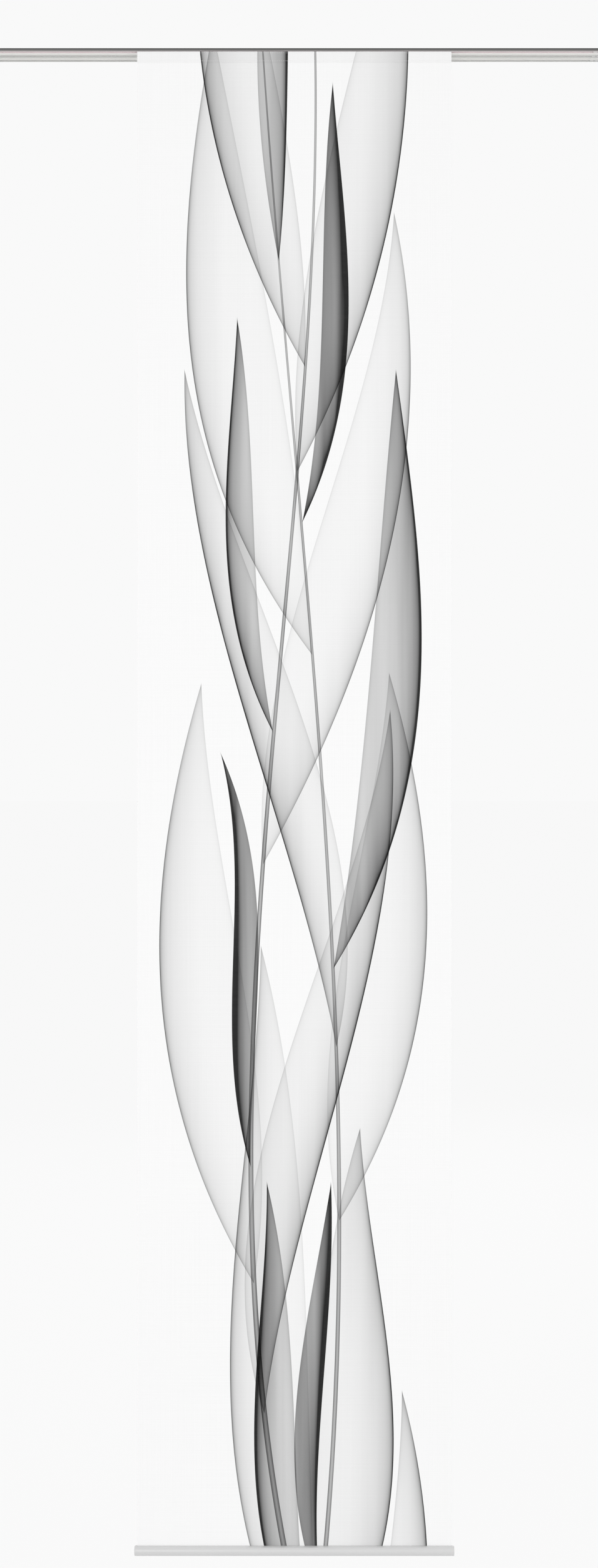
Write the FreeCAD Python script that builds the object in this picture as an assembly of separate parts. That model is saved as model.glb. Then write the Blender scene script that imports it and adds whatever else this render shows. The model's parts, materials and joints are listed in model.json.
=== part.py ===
import FreeCAD, Part
import math
import os

os.makedirs("parts", exist_ok=True)

# A sheer panel that slides on a slim ceiling rail with three runs, weighted by a bar along its bottom edge.
# X runs along the rail, Y to the back and Z up. The origin is the centre of the rail's top face.

# Whole panel
total_drop = 2879.0             # rail's top face to the underside of the weight bar
cloth_width = 600.0
cloth_thickness = 0.4
fold_gap = 0.3                  # clear line between the fixed header and the swinging screen
running_gap = 0.3               # around everything that slides or hangs in a groove
fitting_gap = 0.2               # around pegs that are pushed in
overrun = 1.0                   # how far a cutting tool passes the face it leaves

# Rail: one extruded profile, screwed up through its top plate
rail_length = 1200.0
run_count = 3
run_pitch = 24.0                # run to run, front to back
run_width = 12.0                # over the two walls of a run
run_wall = 1.2
run_height = 3.3                # clear height inside a run
top_plate = 1.5
lip_thickness = 1.2
slot_width = 6.0                # open underside of a run
rail_edge_radius = 0.4
screw_hole_diameter = 4.5
screw_inset = 100.0             # end of the rail to the outer pairs of holes

# Moulded caps on the ends of the rail
rail_cap_plate = 2.0
rail_cap_edge_radius = 0.8
rail_peg_length = 8.0

# Stops clamped in the ends of every run, each by its own grub screw
stop_length = 16.0
stop_inset = 12.0               # end of the rail to the stop's outer end
grub_diameter = 3.0
grub_length = 4.0
grub_gap = 0.05
socket_across_flats = 1.5
socket_depth = 2.0
socket_sides = 6

# Gliders: T-shaped mouldings that join the carrier to the front run
glider_count = 4
glider_inset = 30.0             # edge of the cloth to the outer glider's centre
glider_head_length = 26.0
glider_neck_length = 12.0
glider_foot_length = 14.0

# Carrier: a thin profile with a groove for the gliders' feet and a plate for the tape
carrier_drop = 1.0              # rail's underside to the carrier's top
carrier_groove_width = 9.6      # over the two walls of the groove
carrier_wall = 1.2
carrier_groove_height = 2.9     # clear height inside the groove
carrier_slot_width = 4.4
carrier_plate = 1.8
carrier_cap_plate = 1.5
carrier_peg_length = 8.0

# Hook and loop tape between the carrier and the header of the cloth
tape_height = 14.0
tape_margin = 0.25              # above and below the tape on its plate
hook_thickness = 1.3
loop_thickness = 1.2

# Weight bar: a round tube with a groove that holds the rod in the hem
bar_diameter = 19.0
bar_wall = 1.3
bar_overhang = 5.0              # edge of the cloth to the end of the cap
bar_slot_width = 1.8
hem_groove_diameter = 5.2
hem_groove_wall = 1.2
hem_rod_diameter = 3.4
bar_cap_plate = 3.0
bar_cap_edge_radius = 1.4
bar_peg_length = 10.0

# Places worked out from the sizes above
rail_depth = (run_count - 1) * run_pitch + run_width
rail_height = top_plate + run_height + lip_thickness
run_inner_width = run_width - 2 * run_wall
run_floor = -top_plate - run_height
run_places = [(number - (run_count - 1) / 2) * run_pitch for number in range(run_count)]
front_run = run_places[0]
hole_rows = [(front + back) / 2 for front, back in zip(run_places, run_places[1:])]
hole_columns = [screw_inset - rail_length / 2, 0, rail_length / 2 - screw_inset]

carrier_top = -rail_height - carrier_drop
groove_outer_height = carrier_groove_height + 2 * carrier_wall
carrier_inner_width = carrier_groove_width - 2 * carrier_wall
plate_top = carrier_top - groove_outer_height
plate_height = tape_height + 2 * tape_margin
carrier_bottom = plate_top - plate_height
carrier_front = front_run - carrier_groove_width / 2
plate_front = carrier_front + hook_thickness + loop_thickness
carrier_length = cloth_width - 2 * carrier_cap_plate
tape_top = plate_top - tape_margin

cloth_back = carrier_front
cloth_front = cloth_back - cloth_thickness
cloth_plane = cloth_back - cloth_thickness / 2
hinge_height = carrier_bottom - fold_gap / 2
screen_top = carrier_bottom - fold_gap

bar_radius = bar_diameter / 2
bar_centre = bar_radius - total_drop
bar_top = bar_radius + bar_centre
bar_length = cloth_width + 2 * bar_overhang - 2 * bar_cap_plate
hem_groove_radius = hem_groove_diameter / 2
hem_groove_centre = bar_top - bar_wall - hem_groove_radius
hem_rod_radius = hem_rod_diameter / 2
hem_loop_radius = hem_rod_radius + cloth_thickness
hem_rod_centre = hem_groove_centre + hem_groove_radius - hem_loop_radius - running_gap

glider_reach = cloth_width / 2 - glider_inset
glider_places = [(2 * number / (glider_count - 1) - 1) * glider_reach for number in range(glider_count)]
stop_face = rail_length / 2 - stop_inset - stop_length
slide_travel = stop_face - glider_reach - glider_head_length / 2


# Helpers for straight blocks and round bars
def about(centre, width):
    return centre - width / 2, centre + width / 2


def below(top, height):
    return top - height, top


def between(first, second):
    return min(first, second), max(first, second)


def block(x_span, y_span, z_span):
    corner = FreeCAD.Vector(x_span[0], y_span[0], z_span[0])
    return Part.makeBox(x_span[1] - x_span[0], y_span[1] - y_span[0], z_span[1] - z_span[0], corner)


def round_bar(x_span, y, z, radius):
    start = FreeCAD.Vector(x_span[0], y, z)
    return Part.makeCylinder(radius, x_span[1] - x_span[0], start, FreeCAD.Vector(1, 0, 0))


def upright_pin(x, y, z_span, radius):
    start = FreeCAD.Vector(x, y, z_span[0])
    return Part.makeCylinder(radius, z_span[1] - z_span[0], start, FreeCAD.Vector(0, 0, 1))


# A slab whose two ends are half round when seen from above
def rounded_slab(x, y, length, width, z_span):
    left, right = about(x, length - width)
    front, back = about(y, width)
    bottom, top = z_span
    front_left = FreeCAD.Vector(left, front, bottom)
    front_right = FreeCAD.Vector(right, front, bottom)
    back_right = FreeCAD.Vector(right, back, bottom)
    back_left = FreeCAD.Vector(left, back, bottom)
    right_tip = FreeCAD.Vector(right + width / 2, y, bottom)
    left_tip = FreeCAD.Vector(left - width / 2, y, bottom)
    sides = [Part.LineSegment(front_left, front_right), Part.Arc(front_right, right_tip, back_right)]
    sides += [Part.LineSegment(back_right, back_left), Part.Arc(back_left, left_tip, front_left)]
    outline = Part.Wire([side.toShape() for side in sides])
    return Part.Face(outline).extrude(FreeCAD.Vector(0, 0, top - bottom))


def join(pieces):
    whole = pieces[0]
    for piece in pieces[1:]:
        whole = whole.fuse(piece)
    return whole.removeSplitter()


def cut_all(body, tools):
    for tool in tools:
        body = body.cut(tool)
    return body


# Edges parallel to X that lie on the given corners of the section
def edges_along_x(body, corners, reach):
    picked = []
    for edge in body.Edges:
        box = edge.BoundBox
        for y, z in corners:
            near = abs(box.YMin - y) < reach and abs(box.YMax - y) < reach
            if near and abs(box.ZMin - z) < reach and abs(box.ZMax - z) < reach:
                picked.append(edge)
    return picked


# Outer edges of an end plate that faces along X
def outer_face_edges(body, x):
    for face in body.Faces:
        box = face.BoundBox
        if abs(box.XMin - x) < fitting_gap and abs(box.XMax - x) < fitting_gap:
            return face.OuterWire.Edges


def make_rail():
    along = about(0, rail_length)
    tool_along = about(0, rail_length + 2 * overrun)
    body = block(along, about(0, rail_depth), below(0, rail_height))
    recess = (-rail_height - overrun, -top_plate)
    tools = [block(tool_along, about(row, run_pitch - run_width), recess) for row in hole_rows]
    for run in run_places:
        tools.append(block(tool_along, about(run, run_inner_width), below(-top_plate, run_height)))
        tools.append(block(tool_along, about(run, slot_width), recess))
    body = cut_all(body, tools)
    corners = [(side * rail_depth / 2, height) for side in (-1, 1) for height in (0, -rail_height)]
    body = body.makeFillet(rail_edge_radius, edges_along_x(body, corners, rail_edge_radius / 2))
    through = (-top_plate - overrun, overrun)
    holes = [upright_pin(x, y, through, screw_hole_diameter / 2) for x in hole_columns for y in hole_rows]
    return cut_all(body, holes)


def make_rail_cap(side):
    inner = side * rail_length / 2
    outer = inner + side * rail_cap_plate
    plate = block(between(inner, outer), about(0, rail_depth), below(0, rail_height))
    plate = plate.makeFillet(rail_cap_edge_radius, outer_face_edges(plate, outer))
    peg_span = between(inner, inner - side * rail_peg_length)
    peg_width = run_inner_width - 2 * fitting_gap
    peg_height = below(-top_plate - fitting_gap, run_height - 2 * fitting_gap)
    pegs = [block(peg_span, about(run, peg_width), peg_height) for run in run_places]
    return join([plate] + pegs)


def stop_centre(side):
    return side * (stop_face + stop_length / 2)


# Rests on the lips of its run and fills the slot, with a threaded hole for the grub screw
def make_run_stop(run, side):
    x = stop_centre(side)
    shoe_top = run_floor + run_height - 2 * running_gap
    shoe = block(about(x, stop_length), about(run, run_inner_width - 2 * running_gap), (run_floor, shoe_top))
    keel_span = (running_gap - rail_height, run_floor)
    keel = block(about(x, stop_length), about(run, slot_width - 2 * running_gap), keel_span)
    hole = upright_pin(x, run, (-rail_height, 0), grub_diameter / 2 + grub_gap)
    return join([shoe, keel]).cut(hole)


# Its tip bears on the underside of the top plate
def make_grub_screw(run, side):
    x = stop_centre(side)
    tip = -top_plate
    shank = upright_pin(x, run, below(tip, grub_length), grub_diameter / 2)
    corner_radius = socket_across_flats / math.sqrt(3)
    bottom = tip - grub_length
    corners = []
    for number in range(socket_sides + 1):
        turn = math.tau * number / socket_sides
        offset = FreeCAD.Vector(math.cos(turn), math.sin(turn), 0) * corner_radius
        corners.append(FreeCAD.Vector(x, run, bottom) + offset)
    outline = Part.makePolygon(corners)
    return shank.cut(Part.Face(outline).extrude(FreeCAD.Vector(0, 0, socket_depth)))


# Head in the run, neck through its slot, shoulder on the carrier and foot in the carrier's groove
def make_glider(x):
    head_width = run_inner_width - 2 * running_gap
    head_span = (run_floor + running_gap, -top_plate - running_gap)
    head = rounded_slab(x, front_run, glider_head_length, head_width, head_span)
    neck_span = (carrier_top, run_floor + running_gap)
    neck_width = slot_width - 2 * running_gap
    neck = rounded_slab(x, front_run, glider_neck_length, neck_width, neck_span)
    groove_top = carrier_top - carrier_wall
    stem_width = carrier_slot_width - 2 * fitting_gap
    stem_length = glider_neck_length - neck_width + stem_width
    stem = rounded_slab(x, front_run, stem_length, stem_width, (groove_top, carrier_top))
    foot_height = carrier_groove_height - running_gap
    foot_width = carrier_inner_width - 2 * fitting_gap
    foot = rounded_slab(x, front_run, glider_foot_length, foot_width, below(groove_top, foot_height))
    return join([head, neck, stem, foot])


# Outline of the carrier without its groove, which its end caps share
def carrier_outline(x_span):
    groove = block(x_span, about(front_run, carrier_groove_width), below(carrier_top, groove_outer_height))
    plate = block(x_span, (plate_front, plate_front + carrier_plate), below(plate_top, plate_height))
    return join([groove, plate])


def make_carrier():
    tool_along = about(0, carrier_length + 2 * overrun)
    groove_top = carrier_top - carrier_wall
    groove_height = below(groove_top, carrier_groove_height)
    groove = block(tool_along, about(front_run, carrier_inner_width), groove_height)
    slot = block(tool_along, about(front_run, carrier_slot_width), (groove_top, carrier_top + overrun))
    body = carrier_outline(about(0, carrier_length))
    return cut_all(body, [groove, slot])


def make_carrier_cap(side):
    inner = side * carrier_length / 2
    plate = carrier_outline(between(inner, inner + side * carrier_cap_plate))
    peg_span = between(inner, inner - side * carrier_peg_length)
    peg_width = carrier_inner_width - 2 * fitting_gap
    peg_height = below(carrier_top - carrier_wall - fitting_gap, carrier_groove_height - 2 * fitting_gap)
    peg = block(peg_span, about(front_run, peg_width), peg_height)
    return join([plate, peg])


def make_tape(front, thickness):
    return block(about(0, carrier_length), (front, front + thickness), below(tape_top, tape_height))


def make_header_cloth():
    return block(about(0, cloth_width), (cloth_front, cloth_back), (carrier_bottom, carrier_top))


def make_screen_cloth():
    return block(about(0, cloth_width), (cloth_front, cloth_back), (bar_top, screen_top))


# The cloth goes down through the bar's slot, round the rod and up again
def make_hem_loop():
    along = about(0, cloth_width)
    web = block(along, about(cloth_plane, 2 * cloth_thickness), (hem_rod_centre, bar_top))
    sleeve = round_bar(along, cloth_plane, hem_rod_centre, hem_loop_radius)
    bore = round_bar(about(0, cloth_width + 2 * overrun), cloth_plane, hem_rod_centre, hem_rod_radius)
    return join([web, sleeve]).cut(bore)


def make_hem_rod():
    return round_bar(about(0, cloth_width), cloth_plane, hem_rod_centre, hem_rod_radius)


def make_weight_bar():
    along = about(0, bar_length)
    tool_along = about(0, bar_length + 2 * overrun)
    tube = round_bar(along, cloth_plane, bar_centre, bar_radius)
    tube = tube.cut(round_bar(tool_along, cloth_plane, bar_centre, bar_radius - bar_wall))
    groove_wall = round_bar(along, cloth_plane, hem_groove_centre, hem_groove_radius + hem_groove_wall)
    groove_wall = groove_wall.common(round_bar(along, cloth_plane, bar_centre, bar_radius))
    groove = round_bar(tool_along, cloth_plane, hem_groove_centre, hem_groove_radius)
    slot = block(tool_along, about(cloth_plane, bar_slot_width), (hem_groove_centre, bar_top + overrun))
    return cut_all(join([tube, groove_wall]), [groove, slot])


# A domed disc with a peg that clears the groove's wall inside the tube
def make_bar_cap(side):
    inner = side * bar_length / 2
    outer = inner + side * bar_cap_plate
    disc = round_bar(between(inner, outer), cloth_plane, bar_centre, bar_radius)
    disc = disc.makeFillet(bar_cap_edge_radius, outer_face_edges(disc, outer))
    peg_span = between(inner, inner - side * bar_peg_length)
    tool_span = between(inner, inner - side * (bar_peg_length + overrun))
    peg = round_bar(peg_span, cloth_plane, bar_centre, bar_radius - bar_wall - fitting_gap)
    room = hem_groove_radius + hem_groove_wall + fitting_gap
    peg = peg.cut(round_bar(tool_span, cloth_plane, hem_groove_centre, room))
    peg = peg.cut(block(tool_span, about(cloth_plane, 2 * room), (hem_groove_centre, bar_top)))
    return join([disc, peg])


nodes = {"rail": make_rail(), "carrier": make_carrier()}
sides = {"left": -1, "right": 1}
for side_name, side in sides.items():
    nodes[f"rail_end_cap_{side_name}"] = make_rail_cap(side)
    nodes[f"carrier_end_cap_{side_name}"] = make_carrier_cap(side)
    nodes[f"bar_end_cap_{side_name}"] = make_bar_cap(side)
    for run_name, run in zip(("front", "middle", "rear"), run_places):
        nodes[f"run_stop_{run_name}_{side_name}"] = make_run_stop(run, side)
grub_screws = [make_grub_screw(run, side) for run in run_places for side in sides.values()]
nodes["stop_screws"] = Part.makeCompound(grub_screws)
for number, place in enumerate(glider_places, start=1):
    nodes[f"glider_{number}"] = make_glider(place)
nodes["hook_strip"] = make_tape(plate_front - hook_thickness, hook_thickness)
nodes["loop_strip"] = make_tape(carrier_front, loop_thickness)
nodes["header_cloth"] = make_header_cloth()
nodes["screen_cloth"] = make_screen_cloth()
nodes["hem_loop"] = make_hem_loop()
nodes["hem_rod"] = make_hem_rod()
nodes["weight_bar"] = make_weight_bar()

for name, shape in nodes.items():
    shape.exportStep(f"parts/{name}.step")
    print(name, len(shape.Solids), "solid", round(shape.Volume, 1), "mm3", shape.isValid())
print("slide travel each way", round(slide_travel, 3))
print("hinge line at y", round(cloth_plane, 3), "z", round(hinge_height, 3))
print("carrier from z", round(carrier_top, 3), "to", round(carrier_bottom, 3))
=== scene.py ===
import bmesh
import bpy
import json
import math
from mathutils import Matrix, Vector


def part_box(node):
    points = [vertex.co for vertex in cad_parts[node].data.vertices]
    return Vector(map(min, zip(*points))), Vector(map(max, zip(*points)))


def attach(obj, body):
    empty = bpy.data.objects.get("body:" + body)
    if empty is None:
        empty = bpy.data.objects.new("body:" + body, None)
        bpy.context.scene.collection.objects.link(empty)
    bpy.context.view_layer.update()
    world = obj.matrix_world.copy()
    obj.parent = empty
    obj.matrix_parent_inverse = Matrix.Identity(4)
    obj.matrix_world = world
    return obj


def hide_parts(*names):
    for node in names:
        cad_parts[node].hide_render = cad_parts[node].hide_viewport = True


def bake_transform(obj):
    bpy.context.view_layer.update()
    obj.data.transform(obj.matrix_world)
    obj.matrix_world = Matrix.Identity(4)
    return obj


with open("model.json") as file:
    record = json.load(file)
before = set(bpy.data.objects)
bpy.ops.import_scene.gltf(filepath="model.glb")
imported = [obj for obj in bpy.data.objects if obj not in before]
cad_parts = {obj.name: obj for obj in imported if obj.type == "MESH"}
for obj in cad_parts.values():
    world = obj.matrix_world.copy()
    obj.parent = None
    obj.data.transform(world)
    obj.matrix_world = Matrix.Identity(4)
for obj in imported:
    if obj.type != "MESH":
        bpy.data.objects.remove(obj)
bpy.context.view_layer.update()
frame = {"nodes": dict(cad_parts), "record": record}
print("frame loaded:", len(frame["nodes"]), "nodes")


# shader maths: a wrapped socket, with numbers and triples beside it, so that a mask is written as a sum
class Wire:
    def __init__(self, tree, socket=None):
        self.tree = tree
        self.socket = socket

    def node(self, kind, settings, inputs, output=0):
        made = self.tree.nodes.new("ShaderNode" + kind)
        for key, value in settings.items():
            setattr(made, key, value)
        for key, value in inputs.items():
            if isinstance(value, Wire):
                self.tree.links.new(value.socket, made.inputs[key])
            else:
                made.inputs[key].default_value = value
        return Wire(self.tree, made.outputs[output] if len(made.outputs) else None)

    def maths(self, operation, *values):
        if any(isTriple(value) for value in values):
            return self.node("VectorMath", {"operation": operation}, dict(enumerate(map(spread, values))))
        return self.node("Math", {"operation": operation}, dict(enumerate(values)))

    def __add__(self, other):
        return self.maths("ADD", self, other)

    def __sub__(self, other):
        return self.maths("SUBTRACT", self, other)

    def __mul__(self, other):
        return self.maths("MULTIPLY", self, other)

    def __truediv__(self, other):
        return self.maths("DIVIDE", self, other)

    def __radd__(self, other):
        return self.maths("ADD", other, self)

    def __rsub__(self, other):
        return self.maths("SUBTRACT", other, self)

    def __rmul__(self, other):
        return self.maths("MULTIPLY", other, self)

    def __rtruediv__(self, other):
        return self.maths("DIVIDE", other, self)

    def __abs__(self):
        return self.maths("ABSOLUTE", self)

    def least(self, other):
        return self.maths("MINIMUM", self, other)

    def most(self, other):
        return self.maths("MAXIMUM", self, other)

    def sine(self):
        return self.maths("SINE", self)

    # 0 below the first value, 1 above the second, a soft or straight ramp between
    def step(self, low, high, ramp="SMOOTHSTEP"):
        settings = {"interpolation_type": ramp}
        if not any(isTriple(value) for value in (self, low, high)):
            return self.node("MapRange", settings, {0: self, 1: low, 2: high})
        settings["data_type"] = "FLOAT_VECTOR"  # the sockets of triples follow those of plain values
        return self.node("MapRange", settings, {6: self, 7: spread(low), 8: spread(high)}, 1)

    def part(self, axis):
        return self.node("SeparateXYZ", {}, {"Vector": self}, axis)

    def parts(self):
        return [self.part(axis) for axis in "XYZ"]


def isTriple(value):
    return isinstance(value, tuple) or (isinstance(value, Wire) and value.socket.type == "VECTOR")


def spread(value):
    return (value, value, value) if isinstance(value, (int, float)) else value


def newFinish(name, **constants):
    finish = bpy.data.materials.new(name)
    finish.use_nodes = True
    tree = finish.node_tree
    shader = tree.nodes["Principled BSDF"]
    for key, value in constants.items():
        shader.inputs[key.replace("_", " ")].default_value = value
    return finish, Wire(tree), shader


def plug(shader, **wires):
    for key, wire in wires.items():
        shader.id_data.links.new(wire.socket, shader.inputs[key.replace("_", " ")])


def objectPlace(start):
    return start.node("TexCoord", {}, {}, "Object")


def joinPlace(start, x, y, z):
    return start.node("CombineXYZ", {}, {"X": x, "Y": y, "Z": z})


def noise(start, place, scale=1.0, detail=2.0, roughness=0.5):  # from -0.5 to 0.5
    settings = {"Vector": place, "Scale": scale, "Detail": detail, "Roughness": roughness}
    return start.node("TexNoise", {}, settings, "Fac") - 0.5


def weave(x, y, pitch):  # crossed threads, from 0 to 1
    turns = 2.0 * math.pi / pitch
    return (x * turns).sine() * (y * turns).sine() * 0.5 + 0.5


def grey(start, tone, tint=(1.0, 1.0, 1.0)):
    channels = dict(zip(("Red", "Green", "Blue"), [tone * share for share in tint]))
    return start.node("CombineColor", {}, channels)


def bump(start, height, distance):
    return start.node("Bump", {}, {"Height": height, "Distance": distance, "Strength": 1.0})


railSkin = {
    "skin": 0.0002,  # how far under a face its finish ends
    # painted shade on the outer faces (top, back and the underside's lips), so that the inside reads brighter
    "paintedOuterShade": 0.36, "frontTone": 0.115, "frontFoot": 0.0009,
    "rose": (0.0, 0.085, 0.056),  # what the faint tint of the front run takes from each channel
    "lipStart": -0.0211, "lipEnd": -0.0181, "wall": -0.0057,  # y where each of these parts ends or starts
    # z range and strength of the painted shade at the foot of the next run's wall, under the middle run's lip
    "wallFoot": (-0.0050, -0.0043), "paintedFootShade": 0.30,
}


# the rail's bands: painted shade on the outer faces, a dark front with a light foot, a painted highlight on
# the first recess and painted shade at the foot of its wall
def railBands(y, z, tone, tint):
    low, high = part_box("rail")
    skin = railSkin["skin"]
    inner = z.step(low.z + skin, low.z + 2 * skin) * (1.0 - z.step(high.z - 2 * skin, high.z - skin))
    outer = 1.0 - inner * (1.0 - abs(y).step(high.y - 2 * skin, high.y - skin))
    foot = low.z + railSkin["frontFoot"]
    front = (1.0 - y.step(low.y + skin, low.y + 2 * skin)) * z.step(foot - skin, foot)
    # the outer faces get painted shade; the front gets its own dark tone
    tone = (tone - outer * railSkin["paintedOuterShade"]) * (1.0 - front) + front * railSkin["frontTone"]
    places = [railSkin[key] for key in ("lipStart", "lipEnd", "wall")]
    lipStart, lipEnd, wall = [y.step(place - skin, place) for place in places]
    rose = (1.0 - front) * (1.0 - lipEnd)
    # painted highlight: the rear lip of the front run, the recess and the wall of the next run are drawn
    # bright, as if light catches them
    paintedHighlight = lipStart * (1.0 - wall)  # from the rear lip of the front run to the wall of the next run
    # painted shade at the foot of the wall, where the middle run's lip would shade it
    shade = lipEnd * (1.0 - z.step(*railSkin["wallFoot"])) * railSkin["paintedFootShade"]
    # the painted highlight lifts the tone to full, less the painted shade at the wall's foot
    tone = tone * (1.0 - paintedHighlight) + paintedHighlight * (1.0 - shade)
    return tone, [share - rose * less for share, less in zip(tint, railSkin["rose"])]


dieLines = {
    "along": 0.03, "across": 900.0, "detail": 3.0, "roughness": 0.6,
    "cloudAlong": 6.0, "cloudAcross": 30.0, "dull": 0.16, "relief": 0.00004,
}


# extruded aluminium with fine die lines along its length
def extrusionFinish(name, look, bands=None):
    finish, start, shader = newFinish(name, Metallic=look["metallic"])
    x, y, z = objectPlace(start).parts()
    along, across = dieLines["along"], dieLines["across"]
    lines = noise(start, joinPlace(start, x * along, y * across, z * across),
                  detail=dieLines["detail"], roughness=dieLines["roughness"])
    along, across = dieLines["cloudAlong"], dieLines["cloudAcross"]
    cloud = noise(start, joinPlace(start, x * along, y * across, z * across))
    tone = look["tone"] + lines * look["lineContrast"] + cloud * look["cloudContrast"]
    tint = look["tint"]
    if bands:
        tone, tint = bands(y, z, tone, tint)
    plug(shader, Base_Color=grey(start, tone, tint), Roughness=look["roughness"] + lines * dieLines["dull"],
         Normal=bump(start, lines, dieLines["relief"]))
    return finish


sparkSkin = {
    "grainScale": 2600.0, "grainRoughness": 0.6, "dull": 0.15, "relief": 0.00003,
    "cloudScale": 60.0, "cloudContrast": 0.03,
}


# moulded plastic with a spark-eroded skin
def mouldedFinish(name, look):
    finish, start, shader = newFinish(name, Metallic=0.0)
    place = objectPlace(start)
    grain = noise(start, place, sparkSkin["grainScale"], roughness=sparkSkin["grainRoughness"])
    tone = look["tone"] + noise(start, place, sparkSkin["cloudScale"]) * sparkSkin["cloudContrast"]
    rough = look["roughness"] + grain * sparkSkin["dull"]
    plug(shader, Base_Color=grey(start, tone, look["tint"]), Roughness=rough,
         Normal=bump(start, grain, sparkSkin["relief"]))
    return finish


# narrow woven tape: crossed threads under hooks or loops
def tapeFinish(name, look):
    finish, start, shader = newFinish(name, Metallic=0.0)
    place = objectPlace(start)
    threads = weave(place.part("X"), place.part("Z"), look["pitch"])
    pile = noise(start, place, look["pileScale"], detail=3.0, roughness=0.7)
    tone = look["tone"] - threads * look["threadContrast"] + pile * look["pileContrast"]
    rough = look["roughness"] + pile * look["dull"]
    plug(shader, Base_Color=grey(start, tone, look["tint"]), Roughness=rough,
         Normal=bump(start, (threads + pile) * 0.5, look["relief"]))
    return finish


# zinc plating with fine crystals
def zincFinish(name, look):
    finish, start, shader = newFinish(name, Metallic=1.0)
    crystals = noise(start, objectPlace(start), look["crystalScale"], detail=3.0, roughness=0.6)
    tone = look["tone"] + crystals * look["crystalContrast"]
    rough = look["roughness"] + crystals * look["dull"]
    plug(shader, Base_Color=grey(start, tone, look["tint"]), Roughness=rough)
    return finish


plainTint = (1.0, 1.0, 1.0)
creamTint = (1.0, 1.0, 0.98)
finishes = {
    "rail_aluminium": extrusionFinish("railAluminium", {
        "tone": 0.94, "tint": creamTint, "metallic": 0.12, "roughness": 0.42, "lineContrast": 0.05,
        "cloudContrast": 0.02}, railBands),
    "carrier_aluminium": extrusionFinish("carrierAluminium", {
        "tone": 0.70, "tint": plainTint, "metallic": 0.6, "roughness": 0.38, "lineContrast": 0.06,
        "cloudContrast": 0.03}),
    "bar_metal": extrusionFinish("barLacquer", {
        "tone": 0.67, "tint": plainTint, "metallic": 0.25, "roughness": 0.35, "lineContrast": 0.03,
        "cloudContrast": 0.02}),
    "cap_plastic": mouldedFinish("greyCaps", {"tone": 0.40, "tint": plainTint, "roughness": 0.5}),
    "bar_cap_plastic": mouldedFinish("barCaps", {"tone": 0.67, "tint": plainTint, "roughness": 0.38}),
    "stop_plastic": mouldedFinish("stopPlastic", {"tone": 0.70, "tint": creamTint, "roughness": 0.45}),
    "glider_plastic": mouldedFinish("gliderPlastic", {"tone": 0.80, "tint": creamTint, "roughness": 0.32}),
    "rod_plastic": mouldedFinish("rodPlastic", {"tone": 0.72, "tint": creamTint, "roughness": 0.4}),
    "screw_steel": zincFinish("zincScrews", {
        "tone": 0.55, "tint": (0.97, 0.98, 1.0), "roughness": 0.35, "crystalScale": 900.0,
        "crystalContrast": 0.12, "dull": 0.2}),
    "hook_tape": tapeFinish("hookTape", {
        "tone": 0.80, "tint": (1.0, 1.0, 0.99), "roughness": 0.875, "dull": 0.15, "pitch": 0.0011,
        "threadContrast": 0.10, "pileScale": 3000.0, "pileContrast": 0.10, "relief": 0.0002}),
    "loop_tape": tapeFinish("loopTape", {
        "tone": 0.84, "tint": (1.0, 1.0, 0.99), "roughness": 0.875, "dull": 0.15, "pitch": 0.0008,
        "threadContrast": 0.05, "pileScale": 1800.0, "pileContrast": 0.16, "relief": 0.0003}),
}
print("finishes made:", len(finishes))

cloth = {
    "columns": 60, "rows": 286, "thickness": 0.0003,
    "proud": 0.0006,  # how far the cut edge stands above the tape
    # depth, how many across and down a metre, phase; they grow and die away over the calm lengths
    "waves": [(0.0011, 2.3, 0.4, 0.3), (0.0008, 4.1, -0.7, 1.9), (0.0005, 7.3, 1.1, 4.0)],
    "calmTop": 0.35, "calmFoot": 0.5,
}
clothLow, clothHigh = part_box("screen_cloth")
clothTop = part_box("header_cloth")[1].z + cloth["proud"]
clothBottom = clothLow.z
clothLength = clothTop - clothBottom
clothWidth = clothHigh.x - clothLow.x
clothPlane = (clothLow.y + clothHigh.y) / 2

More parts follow.
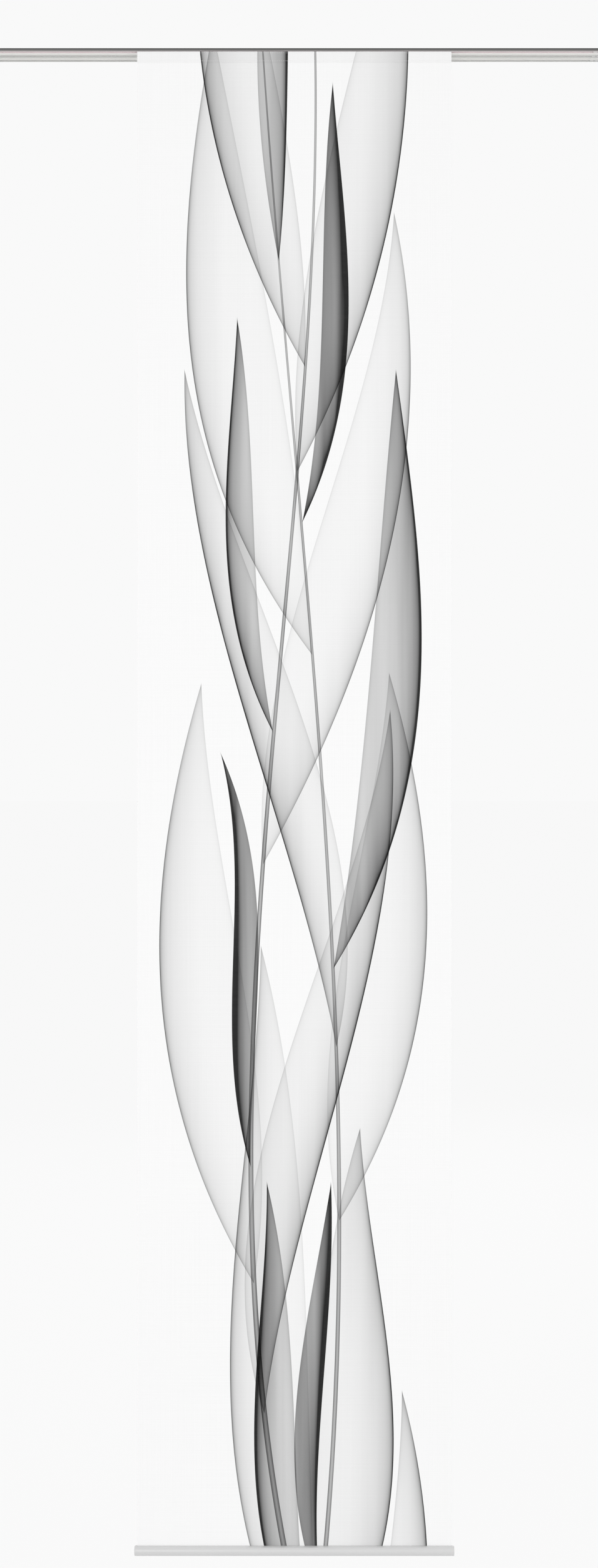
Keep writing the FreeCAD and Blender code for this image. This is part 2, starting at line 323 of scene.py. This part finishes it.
willowPrint = {
    "softEdge": 0.0012, "darkContour": 0.0048, "paleContour": 0.0035, "paleShare": 0.28, "deepest": 0.975,
    "endInk": 0.45, "humpInk": 2.2,  # shade and contour at a leaf's ends, and what its hump adds to them
    "streakContrast": 0.55, "streakRoughness": 0.45,  # silky streaks in the ink
    # fill, shade towards the dark edge, contour, reach of the shade as a share of the width
    "inks": {
        "pale": (0.05, 0.20, 1.00, 0.60),
        "mist": (0.09, 0.30, 1.25, 0.70),
        "slate": (0.32, 0.40, 1.25, 0.90),
        "night": (0.61, 0.40, 0.65, 0.90),
    },
    # foot x, head x, bow, sway, width, ink
    "stems": [
        (-0.020, 0.040, -0.060, 0.70, 0.010, 0.90),
        (0.060, -0.060, 0.055, -0.30, 0.008, 0.85),
    ],
    "stemFoot": 1.25, "stemTaper": 0.75, "stemCore": 0.50,  # share of the width, of the width and of the ink
    # stem, height of the joint, length, reach, width, bow, sway, heel, ink
    "leaves": [
        (0, -0.35, 1.50, -0.130, 0.150, -0.050, 0.50, 0.30, "pale"),
        (0, -0.25, 0.95, -0.090, 0.080, -0.030, 0.30, 0.30, "slate"),
        (1, -0.30, 1.10, 0.100, 0.150, 0.040, -0.40, 0.30, "mist"),
        (1, -0.10, 0.80, 0.020, 0.050, -0.030, 0.20, 0.20, "night"),
        (0, 0.25, 1.35, 0.240, 0.120, -0.020, 0.60, 0.30, "mist"),
        (0, 0.50, 1.15, -0.100, 0.165, -0.050, -0.10, 0.40, "pale"),
        (1, 0.62, 1.05, 0.095, 0.165, 0.040, 0.10, 0.40, "pale"),
        (0, 0.72, 0.80, -0.060, 0.050, 0.020, 0.30, 0.20, "night"),
        (1, 0.95, 1.30, -0.290, 0.110, 0.020, -0.50, 0.30, "mist"),
        (1, 1.10, 1.15, 0.120, 0.100, 0.060, -0.20, 0.30, "slate"),
        (0, 1.30, 1.25, 0.250, 0.150, 0.050, 0.30, 0.40, "pale"),
        (0, 1.55, 0.80, -0.070, 0.055, -0.030, 0.20, 0.20, "slate"),
        (1, 1.70, 1.20, -0.190, 0.165, -0.060, 0.12, 0.30, "pale"),
        (1, 1.95, 0.85, 0.060, 0.052, 0.035, -0.20, 0.20, "night"),
        (0, 2.05, 1.15, 0.190, 0.140, 0.030, 0.10, 0.30, "mist"),
        (0, 2.25, 1.15, -0.160, 0.140, -0.050, -0.10, 0.30, "mist"),
        (1, 2.45, 1.00, 0.060, 0.060, -0.040, -0.10, 0.30, "slate"),
        (0, -0.60, 0.90, 0.050, 0.090, 0.030, 0.10, 0.30, "mist"),
    ],
    "together": 3,  # leaves drawn at a time, one in each channel of a triple
}


# x of a midrib, for numbers, wires and triples alike; the hump is a quarter high at its middle
def curve(along, base, reach, bow, sway):
    hump = along * (1.0 - along)
    return along * reach + hump * 4.0 * bow + hump * (along - 0.5) * sway + base


def stemCurve(along, stem):
    footX, headX, bow, sway = stem[:4]
    return curve(along, footX, headX - footX, bow, sway)


def fullest(heel):  # how wide a leaf's outline gets before it is scaled
    places = [number / 100 for number in range(101)]
    return max(along * (1 - along) * (1 + heel * (1 - 2 * along)) for along in places)


def fallOff(depth, width):  # 1 at an edge, growing with the square of the depth behind it
    fall = depth.most(0.0) / width + 1.0
    return fall * fall


# what three leaves leave of the white
def leafTones(x, height, streak, trio):
    stemOf, joint, length, reach, width, bow, sway, heel, inkOf = zip(*trio)
    fill, shade, contour, softness = zip(*[willowPrint["inks"][name] for name in inkOf])
    stems = willowPrint["stems"]
    base = tuple(stemCurve(at / clothLength, stems[number]) for number, at in zip(stemOf, joint))
    tip = tuple(at + size for at, size in zip(joint, length))
    full = tuple(wide / 2 / fullest(bulge) for wide, bulge in zip(width, heel))
    side = tuple(math.copysign(1.0, far) for far in reach)
    along = height.step(joint, tip, "LINEAR")
    hump = along * (1.0 - along)
    slimmer = tuple(-2.0 * bulge * size for bulge, size in zip(heel, full))
    wider = tuple((1.0 + bulge) * size for bulge, size in zip(heel, full))
    half = hump * (along * slimmer + wider)
    offset = (x - curve(along, base, reach, bow, sway)) * side
    darkDepth = half - offset
    paleDepth = half + offset
    inside = darkDepth.least(paleDepth).step(0.0, willowPrint["softEdge"])
    fade = 1.0 - darkDepth.step(0.0, tuple(wide * far for wide, far in zip(width, softness)), "LINEAR")
    darkLine = contour / fallOff(darkDepth, willowPrint["darkContour"])
    paleLine = contour / fallOff(paleDepth, willowPrint["paleContour"]) * willowPrint["paleShare"]
    swell = hump * willowPrint["humpInk"] + willowPrint["endInk"]
    ink = (fade * fade * shade * streak + darkLine) * swell + streak * fill + paleLine
    left = 1.0 - ink.least(willowPrint["deepest"]) * inside
    return left.part("X") * left.part("Y") * left.part("Z")


# what a stem leaves of the white: thicker at its foot, and darker at its edges
def stemTone(x, height, streak, stem):
    width, ink = stem[4:]
    along = height.step(0.0, clothLength, "LINEAR")
    offset = abs(x - stemCurve(along, stem))
    half = (willowPrint["stemFoot"] - along * willowPrint["stemTaper"]) * (width / 2)
    inside = (half - offset).step(0.0, willowPrint["softEdge"])
    core = willowPrint["stemCore"]
    return 1.0 - inside * (offset / half * (1.0 - core) + core) * streak * ink


voile = {
    "white": 0.945, "opacity": 0.89, "inkOpacity": 0.11, "roughness": 0.85, "specular": 0.1, "sheen": 0.06,
    "threadPitch": 0.0008, "threadRelief": 0.00002, "cutEdge": 0.0012, "cutEdgeTone": 0.015,
    "tapedOpacity": 0.07, "tapeEdge": 0.0003,
    # how many across and down a metre, and each one's own slice of the noise
    "weftSlubs": (4.0, 700.0, 0.0), "warpSlubs": (700.0, 3.0, 5.0), "streaks": (42.0, 1.3, 9.0),
    "slubContrast": 0.016, "slubHoles": 0.03,
}


def clothNoise(start, x, height, spots, roughness=0.5):
    across, down, part = spots
    return noise(start, joinPlace(start, x * across, height * down, part), roughness=roughness)


# sheer white voile with a grey print that shows from both sides
def voileFinish():
    finish, start, shader = newFinish("printedVoile", Metallic=0.0, Roughness=voile["roughness"],
                                      Specular_IOR_Level=voile["specular"], Sheen_Weight=voile["sheen"])
    place = start.node("UVMap", {"uv_map": "clothPlace"}, {})
    x, height = place.part("X"), place.part("Y")
    tone = 1.0 - abs(x).step(clothWidth / 2 - voile["cutEdge"], clothWidth / 2) * voile["cutEdgeTone"]
    silk = clothNoise(start, x, height, voile["streaks"], willowPrint["streakRoughness"])
    streak = silk * willowPrint["streakContrast"] + 1.0
    for stem in willowPrint["stems"]:
        tone = tone * stemTone(x, height, streak, stem)
    leaves, together = willowPrint["leaves"], willowPrint["together"]
    for first in range(0, len(leaves), together):
        tone = tone * leafTones(x, height, streak, leaves[first:first + together])
    weft = clothNoise(start, x, height, voile["weftSlubs"])
    slub = weft + clothNoise(start, x, height, voile["warpSlubs"])
    white = slub * voile["slubContrast"] + voile["white"]
    sheer = (1.0 - tone) * voile["inkOpacity"] + slub * voile["slubHoles"] + voile["opacity"]
    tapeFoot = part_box("loop_strip")[0].z - clothBottom
    taped = height.step(tapeFoot - voile["tapeEdge"], tapeFoot + voile["tapeEdge"])  # white tape lies behind
    inner = start.node("NewGeometry", {}, {}, "Backfacing")  # both faces are one cloth, so only one shows
    alpha = (taped * voile["tapedOpacity"] + sheer) * (1.0 - inner)
    plug(shader, Base_Color=grey(start, tone * white), Alpha=alpha,
         Normal=bump(start, weave(x, height, voile["threadPitch"]) + slub, voile["threadRelief"]))
    return finish


def newPiece(name, mesh, finish):
    piece = bpy.data.objects.new(name, bpy.data.meshes.new(name))
    mesh.to_mesh(piece.data)
    mesh.free()
    bpy.context.scene.collection.objects.link(piece)
    piece.data.materials.append(finish)
    return piece


def waveDepth(x, down):
    steady = min(1.0, down / cloth["calmTop"]) * min(1.0, (clothLength - down) / cloth["calmFoot"])
    steady = max(0.0, steady)
    total = 0.0
    for size, across, drift, phase in cloth["waves"]:
        total += size * math.sin(2 * math.pi * (x * across + down * drift) + phase)
    return total * steady * steady * (3 - 2 * steady)


# the cloth in one sheet, from the carrier's tape down to the bar
def makeCloth():
    mesh = bmesh.new()
    bmesh.ops.create_grid(mesh, x_segments=cloth["columns"], y_segments=cloth["rows"], size=0.5)
    bmesh.ops.scale(mesh, vec=(clothWidth, clothLength, 1.0), verts=mesh.verts)
    upright = Matrix.Rotation(math.radians(90), 3, "X")
    bmesh.ops.rotate(mesh, cent=(0, 0, 0), matrix=upright, verts=mesh.verts)
    bmesh.ops.translate(mesh, vec=(0, clothPlane, (clothTop + clothBottom) / 2), verts=mesh.verts)
    places = mesh.loops.layers.uv.new("clothPlace")
    for face in mesh.faces:
        for loop in face.loops:
            loop[places].uv = (loop.vert.co.x, loop.vert.co.z - clothBottom)
    for vert in mesh.verts:
        vert.co.y += waveDepth(vert.co.x, clothTop - vert.co.z)
    for edge in mesh.edges:
        edge.smooth = not edge.is_boundary  # the cut edge stays crisp, so no shade creeps in from it
    piece = newPiece("screen_fabric", mesh, voileFinish())
    piece.data.shade_smooth()
    body = piece.modifiers.new("thickness", "SOLIDIFY")
    body.thickness = cloth["thickness"]
    body.offset = 0.0
    return piece


stitching = {
    "pitch": 0.0035, "length": 0.0026, "width": 0.00045, "height": 0.00030, "margin": 0.0025,
    "rows": [-0.0090, -0.0241], "tone": 0.82, "roughness": 0.75,
    "twistPitch": 0.0005, "twistSlant": 0.6, "twistContrast": 0.08, "dull": 0.15, "relief": 0.00004,
}


def threadFinish():
    finish, start, shader = newFinish("sewingThread", Metallic=0.0)
    place = objectPlace(start)
    twist = place.part("X") + place.part("Z") * stitching["twistSlant"]
    ply = (twist * (2.0 * math.pi / stitching["twistPitch"])).sine() * 0.5 + 0.5
    tone = ply * stitching["twistContrast"] + stitching["tone"]
    rough = stitching["roughness"] - ply * stitching["dull"]
    plug(shader, Base_Color=grey(start, tone), Roughness=rough, Normal=bump(start, ply, stitching["relief"]))
    return finish


def repeat(mesh, move):  # a moved copy of all that is there so far
    copies = bmesh.ops.duplicate(mesh, geom=mesh.verts[:] + mesh.edges[:] + mesh.faces[:])["geom"]
    moved = [part for part in copies if isinstance(part, bmesh.types.BMVert)]
    bmesh.ops.translate(mesh, vec=move, verts=moved)


# two seams that hold the loop tape behind the top edge, seen from the front as rows of stitches
def makeStitching():
    mesh = bmesh.new()
    pitch = stitching["pitch"]
    span = clothWidth - 2 * stitching["margin"]
    front = clothPlane - cloth["thickness"] / 2
    upper, lower = stitching["rows"]
    size = (stitching["length"] / 2, stitching["height"] / 2, stitching["width"] / 2, 1.0)
    bmesh.ops.create_uvsphere(mesh, u_segments=6, v_segments=4, radius=1.0, matrix=Matrix.Diagonal(size))
    bmesh.ops.translate(mesh, vec=(-span / 2, front, upper), verts=mesh.verts)
    count = 1
    while count * pitch < span:  # the row doubles until it fills the width
        repeat(mesh, (count * pitch, 0, 0))
        count *= 2
    spare = [vert for vert in mesh.verts if vert.co.x > (span + pitch) / 2]
    bmesh.ops.delete(mesh, geom=spare, context="VERTS")
    repeat(mesh, (0, 0, lower - upper))
    piece = newPiece("header_stitching", mesh, threadFinish())
    piece.data.shade_smooth()
    return piece


screenFabric = makeCloth()
headerStitching = makeStitching()
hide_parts("header_cloth", "screen_cloth")
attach(headerStitching, "carrier")
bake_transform(screenFabric)
print("cloth made")

finishes["voile"] = finishes["loop_tape"]  # for the hem in the bar; the hanging cloth has its own
slotOf = {row["node"]: row["material_slot"] for row in frame["record"]["subparts"]}
for node, piece in frame["nodes"].items():
    piece.data.materials.clear()
    piece.data.materials.append(finishes[slotOf[node]])
print("finishes given to the solids")

studio = {
    "white": (1.0, 1.0, 1.0, 1.0), "background": 0.947, "worldLight": 0.80,
    "floorTone": 0.86, "floorGap": 0.20, "floorSize": 400.0, "floorGlow": 0.978, "floorGlowShare": 0.86,
    "lampSpread": math.radians(100),
    "lamps": [
        {"name": "frontLamp", "place": (-3.5, -8.0, -0.7), "size": 3.0, "power": 43.0},
        {"name": "sideLamp", "place": (5.5, -6.0, -0.9), "size": 3.0, "power": 20.5},
        {"name": "backLamp", "place": (1.5, 8.0, 0.4), "size": 3.0, "power": 45.0},
    ],
}


# rays that look straight at the background, in a mirror or through the cloth, see plain white
def seenByEye(start):
    kinds = ("Is Camera Ray", "Is Glossy Ray", "Is Transmission Ray")
    straight, mirrored, through = [start.node("LightPath", {}, {}, kind) for kind in kinds]
    return straight.most(mirrored).most(through)


def makeWorld():
    world = bpy.data.worlds.new("studio")
    bpy.context.scene.world = world
    world.use_nodes = True
    tree = world.node_tree
    start = Wire(tree)
    strength = seenByEye(start) * (studio["background"] - studio["worldLight"]) + studio["worldLight"]
    background = tree.nodes["Background"]
    background.inputs["Color"].default_value = studio["white"]
    tree.links.new(strength.socket, background.inputs["Strength"])


# a floor that is seen from above only, and glows as the background does
def floorFinish():
    finish = bpy.data.materials.new("paleFloor")
    finish.use_nodes = True
    tree = finish.node_tree
    tree.nodes.clear()
    start = Wire(tree)
    tone = studio["floorTone"]
    plain = start.node("BsdfDiffuse", {}, {"Color": (tone, tone, tone, 1.0)})
    glow = start.node("Emission", {}, {"Color": studio["white"], "Strength": studio["floorGlow"]})
    above = start.node("MixShader", {}, {0: seenByEye(start) * studio["floorGlowShare"], 1: plain, 2: glow})
    clear = start.node("BsdfTransparent", {}, {})
    below = start.node("NewGeometry", {}, {}, "Backfacing")
    start.node("OutputMaterial", {}, {"Surface": start.node("MixShader", {}, {0: below, 1: above, 2: clear})})
    return finish


def makeFloor():
    mesh = bmesh.new()
    bmesh.ops.create_grid(mesh, x_segments=1, y_segments=1, size=studio["floorSize"] / 2)
    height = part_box("weight_bar")[0].z - studio["floorGap"]
    bmesh.ops.translate(mesh, vec=(0, 0, height), verts=mesh.verts)
    newPiece("floor", mesh, floorFinish())


def makeLamp(look):
    data = bpy.data.lights.new(look["name"], "AREA")
    data.shape = "SQUARE"
    data.size = look["size"]
    data.energy = look["power"]
    data.spread = studio["lampSpread"]
    lamp = bpy.data.objects.new(look["name"], data)
    bpy.context.scene.collection.objects.link(lamp)
    middle = Vector((0, 0, (clothTop + clothBottom) / 2))
    lamp.visible_camera = False
    lamp.location = look["place"]
    lamp.rotation_euler = (middle - lamp.location).to_track_quat("-Z", "Y").to_euler()


view = {
    "distance": 4.0, "pixel": 0.0011931, "pictureWidth": 957, "pictureHeight": 2510,
    "clothMiddleColumn": 471.0, "railTopRow": 77.2, "sensor": 36.0, "near": 0.05, "far": 1000.0,
}


def makeCamera():
    data = bpy.data.cameras.new("photoView")
    camera = bpy.data.objects.new("photoView", data)
    bpy.context.scene.collection.objects.link(camera)
    across = (view["pictureWidth"] / 2 - view["clothMiddleColumn"]) * view["pixel"]
    down = (view["pictureHeight"] / 2 - view["railTopRow"]) * view["pixel"]
    camera.location = (across, clothPlane - view["distance"], -down)
    camera.rotation_euler = (math.radians(90), 0, 0)
    data.sensor_width = view["sensor"]
    data.lens = view["sensor"] * view["distance"] / (view["pictureHeight"] * view["pixel"])
    data.clip_start = view["near"]
    data.clip_end = view["far"]
    bpy.context.scene.camera = camera


makeWorld()
makeFloor()
for look in studio["lamps"]:
    makeLamp(look)
makeCamera()
bpy.context.scene.view_settings.view_transform = "Standard"
print("studio and camera set")
